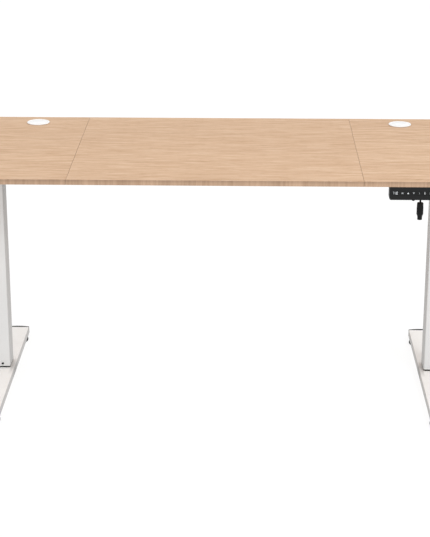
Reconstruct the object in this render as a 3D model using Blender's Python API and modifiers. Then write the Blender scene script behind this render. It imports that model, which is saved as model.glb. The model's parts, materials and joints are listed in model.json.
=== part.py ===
"""Height adjustable standing desk with a three-board top, two telescopic columns and a side keypad.

Metres, +Z up. +X runs to the right along the desk and +Y to its back. The desk stands at its
lowest height. It is drawn round the columns, whose middle is under the middle of the desktop,
and then moved back so that the origin is on the floor under the middle of its whole footprint.
"""

from math import cos, pi, radians, sin

import bmesh
import bpy
from mathutils import Vector

# Driving dimensions
GAP = 0.0003                # between pieces that touch
DESK_W, DESK_D = 1.400, 0.700
DESK_H = 0.7075             # top surface, at the lowest height
BOARD_T = 0.015
CENTRE_W = 0.800            # the middle board
SEAM = 0.0005
COLUMN_X = 0.643
TUBE_W, TUBE_D, TUBE_WALL, TUBE_R = 0.046, 0.066, 0.0018, 0.004
INNER_W, INNER_D, INNER_R, POCKET_R = 0.038, 0.058, 0.003, 0.0015
FOOT_W, FOOT_TOP, FOOT_H = 0.070, 0.028, 0.0204
FOOT_FRONT, FOOT_BACK = -0.383, 0.303   # ends of the steel, from the columns' middle
FOOT_WALL = 0.0025
CAP_BULGE, CAP_EDGE, CAP_PROUD = 0.0095, 0.0035, 0.0005
LEVELLER_R, LEVELLER_H = 0.0375, 0.0068
LEVELLER_FRONT, LEVELLER_BACK = -0.355, 0.260
HEAD_Z = 0.6403             # underside of the column heads
RAIL_Y, RAIL_W, RAIL_H, RAIL_WALL = 0.068, 0.020, 0.030, 0.0015
RAIL_END = 0.6675
ARM_W, ARM_H, ARM_L = 0.024, 0.020, 0.540
SHAFT_Z = 0.668             # axis of the cross shaft
SPINDLE_R = 0.008
GROMMET_X, GROMMET_FROM_BACK, GROMMET_R = 0.5506, 0.073, 0.034
HOLE_R = 0.0302
KEYPAD_X0, KEYPAD_X1 = 0.4687, 0.594
KEYPAD_H, KEYPAD_FRONT, KEYPAD_BACK = 0.0358, -0.3495, -0.3200
KEY_Z = 0.6755              # the row of keys and the display
KEY_X = {"key_memory": 0.503, "key_up": 0.5185, "key_down": 0.5335,
         "key_one": 0.548, "key_two": 0.563, "key_three": 0.578}
KEY_W, KEY_H, KEY_REACH = 0.0108, 0.0120, 0.0050
LEAD_D, LEAD_X = 0.005, 0.558
PLUG_Y, PLUG_TOP = -0.2960, 0.6337

CENTRE_Y = (CAP_BULGE - FOOT_FRONT - DESK_D / 2) / 2   # from the whole's middle to the columns
UNDERSIDE = DESK_H - BOARD_T
FRAME_TOP = UNDERSIDE - GAP
TUBE_BOTTOM = FOOT_TOP + 0.0048

parts = None
cutters = None


# Scene and materials

def clear_scene():
    """Starts from no objects and makes the two collections."""
    global parts, cutters
    for old in list(bpy.data.objects):
        bpy.data.objects.remove(old, do_unlink=True)
    parts = bpy.data.collections.new("standing_desk")
    cutters = bpy.data.collections.new("cutters")
    for collection in (parts, cutters):
        bpy.context.scene.collection.children.link(collection)


def material(name, colour, roughness, metallic=0.0):
    made = bpy.data.materials.new(name)
    made.use_nodes = True
    shader = made.node_tree.nodes["Principled BSDF"]
    shader.inputs["Base Color"].default_value = (*colour, 1.0)
    shader.inputs["Roughness"].default_value = roughness
    shader.inputs["Metallic"].default_value = metallic
    return made


OAK = (0.70, 0.49, 0.33)
WHITE = (0.80, 0.79, 0.77)
CHARCOAL = (0.026, 0.027, 0.029)
BLACK = (0.012, 0.012, 0.013)
STEEL = (0.52, 0.52, 0.53)


# Shapes

def add(name, data, look, at=(0, 0, 0), turn=(0, 0, 0), to=None):
    """Links a new object that shows one material; a cutter has none and stays hidden."""
    made = bpy.data.objects.new(name, data)
    made.location = at
    made.rotation_euler = turn
    (to or parts).objects.link(made)
    if look:
        data.materials.append(material(name, *look))
    else:
        made.hide_render = True
        made.display_type = "WIRE"
    return made


def smooth(mesh):
    mesh.shade_smooth()
    mesh.set_sharp_from_angle(angle=radians(35))


def box(name, low, high, look=None, at=None, to=None):
    """A box between two corners, with its origin at its middle or at the given point."""
    low, high = Vector(low), Vector(high)
    middle = (low + high) / 2
    origin = Vector(at) if at else middle
    shape = bmesh.new()
    bmesh.ops.create_cube(shape, size=1.0)
    bmesh.ops.scale(shape, vec=high - low, verts=shape.verts)
    bmesh.ops.translate(shape, vec=middle - origin, verts=shape.verts)
    mesh = bpy.data.meshes.new(name)
    shape.to_mesh(mesh)
    shape.free()
    return add(name, mesh, look, at=origin, to=to)


def rod(name, start, end, r_start, r_end, sides, look=None, to=None):
    """A cylinder or a cone between two points, with flat ends."""
    start, end = Vector(start), Vector(end)
    along = end - start
    shape = bmesh.new()
    bmesh.ops.create_cone(shape, cap_ends=True, segments=sides, radius1=r_start,
                          radius2=r_end, depth=along.length)
    place = along.to_track_quat("Z", "Y").to_matrix().to_4x4()
    bmesh.ops.transform(shape, matrix=place, verts=shape.verts)
    mesh = bpy.data.meshes.new(name)
    shape.to_mesh(mesh)
    shape.free()
    smooth(mesh)
    return add(name, mesh, look, at=(start + end) / 2, to=to)


def turned(name, profile, look, at, turn=(0, 0, 0), steps=32, ring=False):
    """A solid turned about its own Z axis. The profile runs down the outer side."""
    shape = bmesh.new()
    dots = [shape.verts.new((r, 0, z)) for r, z in profile]
    ends = dots[1:] + dots[:1] if ring else dots[1:]
    for start, end in zip(dots, ends):
        shape.edges.new((start, end))
    mesh = bpy.data.meshes.new(name)
    shape.to_mesh(mesh)
    shape.free()
    made = add(name, mesh, look, at=at, turn=turn)
    screw = made.modifiers.new("turn", "SCREW")
    screw.axis = "Z"
    screw.angle = 2 * pi
    screw.steps = screw.render_steps = steps
    screw.use_merge_vertices = True
    screw.merge_threshold = 0.00002
    screw.use_smooth_shade = True
    return made


def rounded(width, height, radii, middle=(0, 0), steps=4):
    """A rectangle's outline with round corners, from the top right corner anticlockwise."""
    if not hasattr(radii, "__len__"):
        radii = (radii,) * 4
    outline = []
    corners = ((1, 1), (-1, 1), (-1, -1), (1, -1))
    for i, ((sx, sy), r) in enumerate(zip(corners, radii)):
        cx = middle[0] + sx * (width / 2 - r)
        cy = middle[1] + sy * (height / 2 - r)
        if not r:
            outline.append((cx, cy))
            continue
        for k in range(steps + 1):
            angle = (i + k / steps) * pi / 2
            outline.append((cx + r * cos(angle), cy + r * sin(angle)))
    return outline


def circle(r, middle=(0, 0), sides=48):
    return [(middle[0] + r * cos(2 * pi * k / sides), middle[1] + r * sin(2 * pi * k / sides))
            for k in range(sides)]


# How an outline's own x, y and thickness lie when it is extruded along each axis
ALONG = {"X": (pi / 2, 0, pi / 2), "Y": (pi / 2, 0, 0), "Z": (0, 0, 0)}


def extrusion(name, outlines, length, axis, middle, look=None, to=None):
    """Flat outlines, the first one the outer, extruded evenly both ways from their middle."""
    curve = bpy.data.curves.new(name, "CURVE")
    curve.dimensions = "2D"
    curve.fill_mode = "BOTH"
    curve.extrude = length / 2
    for outline in outlines:
        spline = curve.splines.new("POLY")
        spline.points.add(len(outline) - 1)
        for point, (x, y) in zip(spline.points, outline):
            point.co = (x, y, 0, 1)
        spline.use_cyclic_u = True
    return add(name, curve, look, at=middle, turn=ALONG[axis], to=to)


def meshed(source):
    """The same piece as a mesh with its caps welded on, so that it can be cut."""
    bpy.context.view_layer.update()
    seen = source.evaluated_get(bpy.context.evaluated_depsgraph_get())
    mesh = bpy.data.meshes.new_from_object(seen)
    shape = bmesh.new()
    shape.from_mesh(mesh)
    bmesh.ops.remove_doubles(shape, verts=shape.verts, dist=0.00001)
    shape.to_mesh(mesh)
    shape.free()
    name, place, home = source.name, source.matrix_world.copy(), source.users_collection[0]
    bpy.data.objects.remove(source, do_unlink=True)
    made = bpy.data.objects.new(name, mesh)
    made.matrix_world = place
    home.objects.link(made)
    if home == cutters:
        made.hide_render = True
        made.display_type = "WIRE"
    return made


def join(piece, tool, operation="DIFFERENCE"):
    """Cuts a piece with a tool, or unites them."""
    change = piece.modifiers.new(tool.name, "BOOLEAN")
    change.operation = operation
    change.solver = "EXACT"
    change.object = tool


def route(points, spacing):
    """Points about one spacing apart on a smooth curve through a route's own points."""
    dots = [Vector(p) for p in points]
    dots = [2 * dots[0] - dots[1], *dots, 2 * dots[-1] - dots[-2]]
    line = [dots[1]]
    for before, start, end, after in zip(dots, dots[1:], dots[2:], dots[3:]):
        count = max(1, round((end - start).length / spacing))
        for k in range(1, count + 1):
            t = k / count
            line.append(0.5 * (2 * start + (end - before) * t
                               + (2 * before - 5 * start + 4 * end - after) * t * t
                               + (3 * start - before - 3 * end + after) * t ** 3))
    return line


def cord(name, points, diameter, look):
    """A round lead along a route."""
    curve = bpy.data.curves.new(name, "CURVE")
    curve.dimensions = "3D"
    curve.bevel_depth = diameter / 2
    curve.bevel_resolution = 2
    curve.use_fill_caps = True
    line = route(points, 2.2 * diameter)
    spline = curve.splines.new("POLY")
    spline.points.add(len(line) - 1)
    for point, place in zip(spline.points, line):
        point.co = (*place, 1)
    return add(name, curve, look)


# The desktop

def desktop():
    """Three boards side by side, the outer two with a round cable hole near the back."""
    centre_z = DESK_H - BOARD_T / 2
    look = (OAK, 0.5)
    box("desktop_center", (-CENTRE_W / 2 + SEAM / 2, -DESK_D / 2, UNDERSIDE),
        (CENTRE_W / 2 - SEAM / 2, DESK_D / 2, DESK_H), look)
    width = (DESK_W - CENTRE_W) / 2 - SEAM / 2
    for side, sign in (("left", -1), ("right", 1)):
        x = sign * (DESK_W / 2 - width / 2)
        hole = circle(HOLE_R, (sign * GROMMET_X - x, DESK_D / 2 - GROMMET_FROM_BACK))
        extrusion(f"desktop_{side}", [rounded(width, DESK_D, 0), hole], BOARD_T, "Z",
                  (x, 0, centre_z), look)


def grommets():
    """A sleeve with a flange lines each cable hole, and a plain cap lifts off it."""
    flange_low, flange_high = DESK_H + GAP, DESK_H + 0.0011
    sleeve_r, bore_r, bottom = 0.0298, 0.0278, UNDERSIDE - 0.004
    sleeve = [(bore_r, flange_high), (0.0325, flange_high), (0.0325, flange_low),
              (sleeve_r, flange_low), (sleeve_r, bottom), (bore_r, bottom)]
    low, high = flange_high + GAP, flange_high + 0.0023
    rim = GROMMET_R - 0.0007
    cap = [(0, high), (rim, high), (GROMMET_R, high - 0.0006), (GROMMET_R, low),
           (0.0272, low), (0.0272, low - 0.0036), (0, low - 0.0036)]
    for side, sign in (("left", -1), ("right", 1)):
        at = Vector((sign * GROMMET_X, DESK_D / 2 - GROMMET_FROM_BACK, 0))
        turned(f"grommet_sleeve_{side}", sleeve, (WHITE, 0.4), at, ring=True)
        turned(f"grommet_cap_{side}", cap, (WHITE, 0.4), at, steps=40)


# Feet and levellers

def feet():
    """Each foot is a steel channel, open underneath, with a bowed black cap at each end."""
    low = FOOT_TOP - FOOT_H
    half, inner, corner = FOOT_W / 2, FOOT_W / 2 - FOOT_WALL, 0.003
    arc = [(half - corner + corner * cos(k * pi / 8), corner * sin(k * pi / 8) - corner)
           for k in range(5)]
    outer = [(half, -FOOT_H), *arc]
    outline = [*outer, *[(-x, y) for x, y in reversed(outer)], (-inner, -FOOT_H),
               (-inner, -FOOT_WALL), (inner, -FOOT_WALL), (inner, -FOOT_H)]
    bow = [(half * s / 6, CAP_EDGE + (CAP_BULGE - CAP_EDGE) * (1 - (s / 6) ** 2))
           for s in range(6, -7, -1)]
    middle_z = (low + FOOT_TOP) / 2
    for side, sign in (("left", -1), ("right", 1)):
        x = sign * COLUMN_X
        extrusion(f"foot_{side}", [outline], FOOT_BACK - FOOT_FRONT, "Y",
                  (x, (FOOT_FRONT + FOOT_BACK) / 2, FOOT_TOP), (WHITE, 0.45))
        for end, facing, y in (("front", -1, FOOT_FRONT), ("back", 1, FOOT_BACK)):
            cap = [(half, GAP), *bow, (-half, GAP)]
            cap = [(across, facing * out) for across, out in cap[::facing]]
            extrusion(f"foot_cap_{side}_{end}", [cap], FOOT_H + 2 * CAP_PROUD, "Z",
                      (x, y, middle_z), (BLACK, 0.55))


def levellers():
    """Thumb wheels, wider than the foot, each on a threaded stud that screws up into it."""
    edge = 0.0012
    stud_r, stud_top = 0.004, FOOT_TOP - FOOT_WALL - GAP
    profile = [(0, stud_top), (stud_r, stud_top), (stud_r, LEVELLER_H),
               (LEVELLER_R - edge, LEVELLER_H), (LEVELLER_R, LEVELLER_H - edge),
               (LEVELLER_R, edge), (LEVELLER_R - edge, 0), (0, 0)]
    for side, sign in (("left", -1), ("right", 1)):
        for end, y in (("front", LEVELLER_FRONT), ("back", LEVELLER_BACK)):
            turned(f"leveller_{side}_{end}", profile, (BLACK, 0.6),
                   (sign * COLUMN_X, y, 0), steps=40)


# Columns

def columns():
    """The inner tube stands on the foot, and the outer tube slides over it with the desktop."""
    inner_top, floor_t = 0.600, 0.005
    outer_z = (TUBE_BOTTOM, HEAD_Z - GAP)
    screw_z, screw_r = 0.041, 0.0015
    face_y = -TUBE_D / 2
    for side, sign in (("left", -1), ("right", 1)):
        x = sign * COLUMN_X
        inner_z = (FOOT_TOP + GAP, inner_top)
        inner = upright(f"inner_tube_{side}", INNER_W, INNER_D, INNER_R, inner_z, x, (WHITE, 0.4))
        pocket = upright(f"inner_pocket_{side}", INNER_W - 2 * TUBE_WALL, INNER_D - 2 * TUBE_WALL,
                         POCKET_R, (inner_z[0] + floor_t, inner_top + 0.01), x)
        join(inner, pocket)

        hole = rod(f"screw_hole_{side}", (x, face_y - 0.002, screw_z),
                   (x, face_y + 0.0039, screw_z), screw_r + 0.0004, screw_r + 0.0004, 12,
                   to=cutters)
        outer = upright(f"outer_tube_{side}", TUBE_W, TUBE_D, TUBE_R, outer_z, x, (WHITE, 0.4))
        inside = upright(f"outer_inside_{side}", TUBE_W - 2 * TUBE_WALL, TUBE_D - 2 * TUBE_WALL,
                         TUBE_R - TUBE_WALL, (outer_z[0] - 0.01, outer_z[1] + 0.01), x)
        join(outer, inside)
        join(outer, hole)

        glides(side, x, hole, inner_top)
        head = [(0, 0.0018), (0.0024, 0.0018), (0.0035, 0.0008), (0.0035, 0), (screw_r, 0),
                (screw_r, -0.0032), (0, -0.0032)]
        turned(f"glide_screw_{side}", head, (BLACK, 0.4), (x, face_y - GAP, screw_z),
               turn=(pi / 2, 0, 0), steps=20)


def upright(name, width, depth, radius, z, x, look=None):
    """A solid upright bar with round corners at a column, as a mesh."""
    bar = extrusion(name, [rounded(width, depth, radius)], z[1] - z[0], "Z",
                    (x, 0, (z[0] + z[1]) / 2), look, None if look else cutters)
    return meshed(bar)


def glides(side, x, screw_hole, inner_top):
    """Plastic collars that guide the tubes, one at each tube's open end."""
    clear = 0.00025
    bore = (INNER_W + 2 * GAP, INNER_D + 2 * GAP)
    fit = (TUBE_W - 2 * TUBE_WALL - 2 * clear, TUBE_D - 2 * TUBE_WALL - 2 * clear)
    rim = (TUBE_W - 0.0008, TUBE_D - 0.0008)
    rim_z = (FOOT_TOP + 0.001, TUBE_BOTTOM - GAP)
    lower = upright(f"lower_glide_{side}", *rim, TUBE_R, rim_z, x, (BLACK, 0.5))
    sleeve = upright(f"glide_sleeve_{side}", *fit, TUBE_R - TUBE_WALL,
                     (rim_z[0] + 0.001, TUBE_BOTTOM + 0.042), x)
    inside = upright(f"glide_bore_{side}", *bore, INNER_R, (0.01, TUBE_BOTTOM + 0.06), x)
    join(lower, sleeve, "UNION")
    join(lower, inside)
    join(lower, screw_hole)
    collar = [rounded(*fit, TUBE_R - TUBE_WALL), rounded(*bore, INNER_R)]
    extrusion(f"upper_glide_{side}", collar, 0.040, "Z", (x, 0, inner_top - 0.025), (BLACK, 0.5))


def drive():
    """Spindle, nut and gearbox at each column, the cross shaft between them and the motor."""
    nut_z, spindle_low, wheel = (0.570, 0.5995), 0.060, (0.009, 0.0156)
    slack = 0.0004
    low, high = SHAFT_Z - wheel[1], SHAFT_Z - wheel[0]
    spindle = [(0, high), (wheel[0] - slack, high), (wheel[1] - slack, low),
               (SPINDLE_R, low), (SPINDLE_R, spindle_low + 0.002),
               (SPINDLE_R - 0.002, spindle_low), (0, spindle_low)]
    reach = COLUMN_X - (wheel[0] + wheel[1]) / 2
    shaft = rod("drive_shaft", (-reach, 0, SHAFT_Z), (reach, 0, SHAFT_Z), 0.0042, 0.0042, 6,
                (STEEL, 0.3, 1.0))
    for side, sign in (("left", -1), ("right", 1)):
        x = sign * COLUMN_X
        turned(f"spindle_{side}", spindle, (STEEL, 0.25, 1.0), (x, 0, 0), steps=20)
        inset = 2 * (TUBE_WALL + GAP)
        nut = upright(f"spindle_nut_{side}", INNER_W - inset, INNER_D - inset, POCKET_R, nut_z, x,
                      (CHARCOAL, 0.5))
        thread = rod(f"nut_bore_{side}", (x, 0, nut_z[0] - 0.01), (x, 0, nut_z[1] + 0.01),
                     SPINDLE_R + slack, SPINDLE_R + slack, 24, to=cutters)
        join(nut, thread)
        pinion = rod(f"pinion_{side}", (x - sign * wheel[1], 0, SHAFT_Z),
                     (x - sign * wheel[0], 0, SHAFT_Z), wheel[1] - slack, wheel[0] - slack,
                     24, to=cutters)
        join(shaft, pinion, "UNION")
        column_head(side, sign)
    motor()


def column_head(side, sign):
    """A folded bracket on top of the outer tube, with the bevel gearbox inside it."""
    plate, wall_y = 0.003, RAIL_Y - RAIL_W / 2 - GAP
    x_in, x_out = sign * 0.600, sign * (RAIL_END - 0.001)
    x_low, x_high = min(x_in, x_out), max(x_in, x_out)
    head = box(f"column_head_{side}", (x_low, -wall_y, HEAD_Z), (x_high, wall_y, 0.6910),
               (CHARCOAL, 0.5))
    fold = box(f"head_fold_{side}", (x_low - 0.01, -wall_y + plate, HEAD_Z + plate),
               (x_high + 0.01, wall_y - plate, 0.70), to=cutters)
    passage = rod(f"head_hole_{side}", (sign * COLUMN_X, 0, HEAD_Z - 0.01),
                  (sign * COLUMN_X, 0, HEAD_Z + 0.01), 0.0105, 0.0105, 24, to=cutters)
    join(head, fold)
    join(head, passage)

    ends = sorted((sign * 0.6065, sign * 0.6645))
    bottom, top, half, skin = HEAD_Z + plate + GAP, 0.6895, 0.034, 0.003
    case = box(f"gearbox_{side}", (ends[0], -half, bottom), (ends[1], half, top), (STEEL, 0.5, 0.6))
    hollow = box(f"gearbox_hollow_{side}", (ends[0] + skin, -half + skin, bottom - 0.01),
                 (ends[1] - skin, half - skin, top - skin), to=cutters)
    port = rod(f"gearbox_port_{side}", (sign * 0.600, 0, SHAFT_Z), (sign * 0.613, 0, SHAFT_Z),
               0.0055, 0.0055, 20, to=cutters)
    join(case, hollow)
    join(case, port)


def motor():
    """The geared motor hangs on the cross shaft beside the left column."""
    head = box("motor_gearhead", (-0.580, -0.026, 0.612), (-0.520, 0.026, 0.690),
               (STEEL, 0.5, 0.6))
    bore = rod("gearhead_bore", (-0.60, 0, SHAFT_Z), (-0.50, 0, SHAFT_Z), 0.0052, 0.0052, 20,
               to=cutters)
    join(head, bore)
    can_r, length, nose = 0.020, 0.096, 0.004
    can = [(0, length), (0.008, length), (0.008, length - nose), (can_r - 0.002, length - nose),
           (can_r, length - nose - 0.002), (can_r, 0), (0, 0)]
    turned("motor_can", can, (CHARCOAL, 0.35), (-0.520 + GAP, 0, 0.634), turn=(0, pi / 2, 0),
           steps=36)


# The frame under the desktop

def frame():
    """Two rails run from column to column, and an arm across each end carries the boards."""
    rail_z, arm_z = FRAME_TOP - RAIL_H / 2, FRAME_TOP - ARM_H / 2
    section = [rounded(RAIL_W, RAIL_H, 0.002),
               rounded(RAIL_W - 2 * RAIL_WALL, RAIL_H - 2 * RAIL_WALL, 0.001)]
    for name, sign in (("rail_front", -1), ("rail_back", 1)):
        extrusion(name, section, 2 * RAIL_END, "X", (0, sign * RAIL_Y, rail_z), (WHITE, 0.45))
    fold = 0.002
    half, drop = ARM_W / 2, ARM_H / 2
    channel = [(half, -drop), (half, drop), (-half, drop), (-half, -drop),
               (-half + fold, -drop), (-half + fold, drop - fold),
               (half - fold, drop - fold), (half - fold, -drop)]
    for side, sign in (("left", -1), ("right", 1)):
        x = sign * (RAIL_END + GAP + half)
        extrusion(f"side_arm_{side}", [channel], ARM_L, "Y", (x, 0, arm_z), (WHITE, 0.45))


# Controls

def control_box():
    """The control box hangs under the boards behind the rails, with its lid on top."""
    low, high, skin = Vector((-0.300, 0.088, 0.6560)), Vector((-0.060, 0.188, 0.6890)), 0.0022
    case = box("control_box", low, high, (CHARCOAL, 0.55))
    inside = box("control_box_inside", low + Vector((skin, skin, skin)),
                 high + Vector((-skin, -skin, 0.01)), to=cutters)
    join(case, inside)
    ear = 0.014
    box("control_box_lid", (low.x - ear, low.y, high.z + GAP),
        (high.x + ear, high.y, FRAME_TOP - GAP), (CHARCOAL, 0.55))
    box("control_board", (low.x + 0.006, low.y + 0.006, 0.6640),
        (high.x - 0.006, high.y - 0.006, 0.6656), ((0.02, 0.12, 0.06), 0.5))
    y, z, deep = 0.150, 0.6725, 0.017
    inlet = box("mains_inlet", (high.x + GAP, y - 0.015, z - 0.011),
                (high.x + GAP + deep, y + 0.015, z + 0.011), (BLACK, 0.5))
    recess = box("inlet_recess", (high.x + 0.004, y - 0.012, z - 0.008),
                 (high.x + 0.03, y + 0.012, z + 0.008), to=cutters)
    join(inlet, recess)
    cord("motor_lead", [(low.x - GAP, 0.118, 0.6700), (-0.325, 0.118, 0.6690),
                        (-0.352, 0.114, 0.6610), (-0.366, 0.098, 0.6540),
                        (-0.372, 0.070, 0.6510), (-0.374, 0.040, 0.6480),
                        (-0.378, 0.018, 0.6440), (-0.388, 0.004, 0.6375),
                        (-0.404, 0.000, 0.6342), (-0.520 + GAP + 0.096 + GAP, 0, 0.6340)],
         0.006, (BLACK, 0.5))


def keypad():
    """A slim keypad under the right board: housing, fascia, display window and six keys."""
    width, middle_x = KEYPAD_X1 - KEYPAD_X0, (KEYPAD_X0 + KEYPAD_X1) / 2
    middle_z = FRAME_TOP - KEYPAD_H / 2
    fascia_t, skin = 0.0022, 0.0022
    radii = (0.001, 0.001, 0.0045, 0.0045)
    outline = rounded(width, KEYPAD_H, radii)
    body_front = KEYPAD_FRONT + fascia_t + GAP
    body_y = (body_front + KEYPAD_BACK) / 2
    body = meshed(extrusion("keypad_housing", [outline], KEYPAD_BACK - body_front, "Y",
                            (middle_x, body_y, middle_z), (CHARCOAL, 0.5)))
    hollow = box("keypad_hollow", (KEYPAD_X0 + 0.0075, body_front - 0.01, middle_z - 0.0150),
                 (KEYPAD_X1 - 0.0075, KEYPAD_BACK - skin, middle_z + 0.0150), to=cutters)
    join(body, hollow)

    display_x, display_w, display_h = 0.4842, 0.0170, 0.0120
    key_gap = 0.0007
    windows = [rounded(display_w, display_h, 0.0008, (display_x - middle_x, KEY_Z - middle_z))]
    for x in KEY_X.values():
        windows.append(rounded(KEY_W + key_gap, KEY_H + key_gap, 0.0018,
                               (x - middle_x, KEY_Z - middle_z)))
    extrusion("keypad_fascia", [outline, *windows], fascia_t, "Y",
              (middle_x, KEYPAD_FRONT + fascia_t / 2, middle_z), (CHARCOAL, 0.45))
    window = rounded(display_w - 2 * GAP, display_h - 2 * GAP, 0.0006)
    extrusion("keypad_display", [window], fascia_t, "Y",
              (display_x, KEYPAD_FRONT + fascia_t / 2 + 0.0001, KEY_Z), (BLACK, 0.1))
    for name, x in KEY_X.items():
        extrusion(name, [rounded(KEY_W, KEY_H, 0.0015)], KEY_REACH, "Y",
                  (x, KEYPAD_FRONT + 0.0001 + KEY_REACH / 2, KEY_Z), (CHARCOAL, 0.45))
    low = FRAME_TOP - KEYPAD_H
    screw = [(0, 0), (0.0042, 0), (0.0042, -0.0015), (0.0030, -0.0026), (0, -0.0026)]
    turned("keypad_screw", screw, (BLACK, 0.4), (0.5335, -0.3447, low - GAP), steps=20)


def keypad_lead():
    """A short lead leaves the back of the keypad and ends in a round moulded plug."""
    exit_z, gland_l = 0.6800, 0.006
    gland = [(0, gland_l), (0.0036, gland_l), (0.0048, 0.001), (0.0048, 0), (0, 0)]
    turned("keypad_gland", gland, (BLACK, 0.5), (LEAD_X, KEYPAD_BACK + GAP, exit_z),
           turn=(-pi / 2, 0, 0), steps=20)
    start_y = KEYPAD_BACK + GAP + gland_l + GAP
    straight = 0.003
    bend = PLUG_Y - start_y - straight
    arc = [(LEAD_X, start_y + straight + bend * sin(k * pi / 8),
            exit_z - bend * (1 - cos(k * pi / 8))) for k in range(5)]
    below = arc[-1][2]
    fall = below - PLUG_TOP - GAP
    drop = [(LEAD_X, PLUG_Y, below - fall * k / 3) for k in range(1, 4)]
    cord("keypad_lead", [(LEAD_X, start_y, exit_z), *arc, *drop], LEAD_D, (BLACK, 0.5))
    plug = [(0, 0), (0.0072, 0), (0.0086, -0.0010), (0.0089, -0.0110), (0.0095, -0.0160),
            (0.0095, -0.0320), (0.0080, -0.0350), (0.0066, -0.0390), (0.0065, -0.0480),
            (0, -0.0480)]
    turned("keypad_plug", plug, (BLACK, 0.45), (LEAD_X, PLUG_Y, PLUG_TOP), steps=28)


def centre_footprint():
    """The feet reach further forward than the desktop, so the columns stand behind the origin."""
    for made in bpy.data.objects:
        made.location.y += CENTRE_Y


clear_scene()
desktop()
grommets()
feet()
levellers()
columns()
drive()
frame()
control_box()
keypad()
keypad_lead()
centre_footprint()
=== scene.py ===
"""The looks of the height adjustable standing desk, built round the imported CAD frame."""
import json
from math import cos, pi, radians, sin

import bmesh
import bpy
from mathutils import Matrix, Vector

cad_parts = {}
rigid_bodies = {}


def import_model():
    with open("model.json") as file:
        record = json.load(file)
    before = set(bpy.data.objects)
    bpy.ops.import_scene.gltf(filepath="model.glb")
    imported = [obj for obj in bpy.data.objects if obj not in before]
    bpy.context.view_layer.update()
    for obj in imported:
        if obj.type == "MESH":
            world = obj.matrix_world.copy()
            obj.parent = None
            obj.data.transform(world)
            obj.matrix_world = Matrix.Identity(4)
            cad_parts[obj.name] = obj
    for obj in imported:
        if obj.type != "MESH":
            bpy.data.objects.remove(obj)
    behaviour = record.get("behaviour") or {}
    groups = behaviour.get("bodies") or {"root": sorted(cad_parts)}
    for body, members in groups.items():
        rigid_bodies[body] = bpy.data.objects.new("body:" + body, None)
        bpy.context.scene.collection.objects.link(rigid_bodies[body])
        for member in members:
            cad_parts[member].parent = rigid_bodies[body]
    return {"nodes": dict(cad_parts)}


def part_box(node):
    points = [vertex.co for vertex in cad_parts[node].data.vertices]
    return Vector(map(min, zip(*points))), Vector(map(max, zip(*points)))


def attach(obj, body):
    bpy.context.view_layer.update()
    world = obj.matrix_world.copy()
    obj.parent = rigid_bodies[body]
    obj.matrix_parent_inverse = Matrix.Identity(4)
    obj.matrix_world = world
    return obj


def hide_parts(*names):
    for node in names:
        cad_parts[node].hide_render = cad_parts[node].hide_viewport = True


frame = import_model()
NODES = frame["nodes"]
for leftover in [o for o in bpy.data.objects if o.name in ("Cube", "Light", "Camera")]:
    bpy.data.objects.remove(leftover, do_unlink=True)
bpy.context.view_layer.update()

GAP = 0.0003                          # between one piece and the next
SIDES = (("left", -1), ("right", 1))
ENDS = (("front", -1), ("back", 1))


def middle(node):
    """The middle of a CAD node's box."""
    low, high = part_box(node)
    return (low + high) / 2


AXIS_Y = middle("drive_shaft").y      # the plane through the columns and the cross shaft

# Camera, light and floor

CAMERA_AT = Vector((0.0795, AXIS_Y - 4.4718, 1.8904))
CAMERA_RIGHT = Vector((0.99981, 0.01944, 0.00123))
CAMERA_UP = Vector((-0.00754, 0.32807, 0.94463))
LENS, SENSOR = 107.23, 36.0
LIT_POINT = (0, 0, 0.4)
LIGHTS = (("key", (2.2, -3.6, 3.2), 1.5, 78), ("front", (-0.6, -5.0, 1.7), 2.4, 16))
SKY_AHEAD, SKY_ASIDE = 1.00, 0.86
FLOOR_SIZE, FLOOR_Z = 40, -0.0004


def camera():
    data = bpy.data.cameras.new("camera")
    data.lens, data.sensor_width, data.sensor_fit = LENS, SENSOR, "AUTO"
    made = bpy.data.objects.new("camera", data)
    back = CAMERA_RIGHT.cross(CAMERA_UP).normalized()
    up = back.cross(CAMERA_RIGHT).normalized()
    turn = Matrix((CAMERA_RIGHT.normalized(), up, back)).transposed().to_4x4()
    made.matrix_world = Matrix.Translation(CAMERA_AT) @ turn
    bpy.context.scene.collection.objects.link(made)
    bpy.context.scene.camera = made


def area_light(name, at, size, power):
    data = bpy.data.lights.new(name, "AREA")
    data.shape, data.size, data.energy = "DISK", size, power
    made = bpy.data.objects.new(name, data)
    made.location = at
    made.rotation_euler = (Vector(LIT_POINT) - Vector(at)).to_track_quat("-Z", "Y").to_euler()
    bpy.context.scene.collection.objects.link(made)


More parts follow.
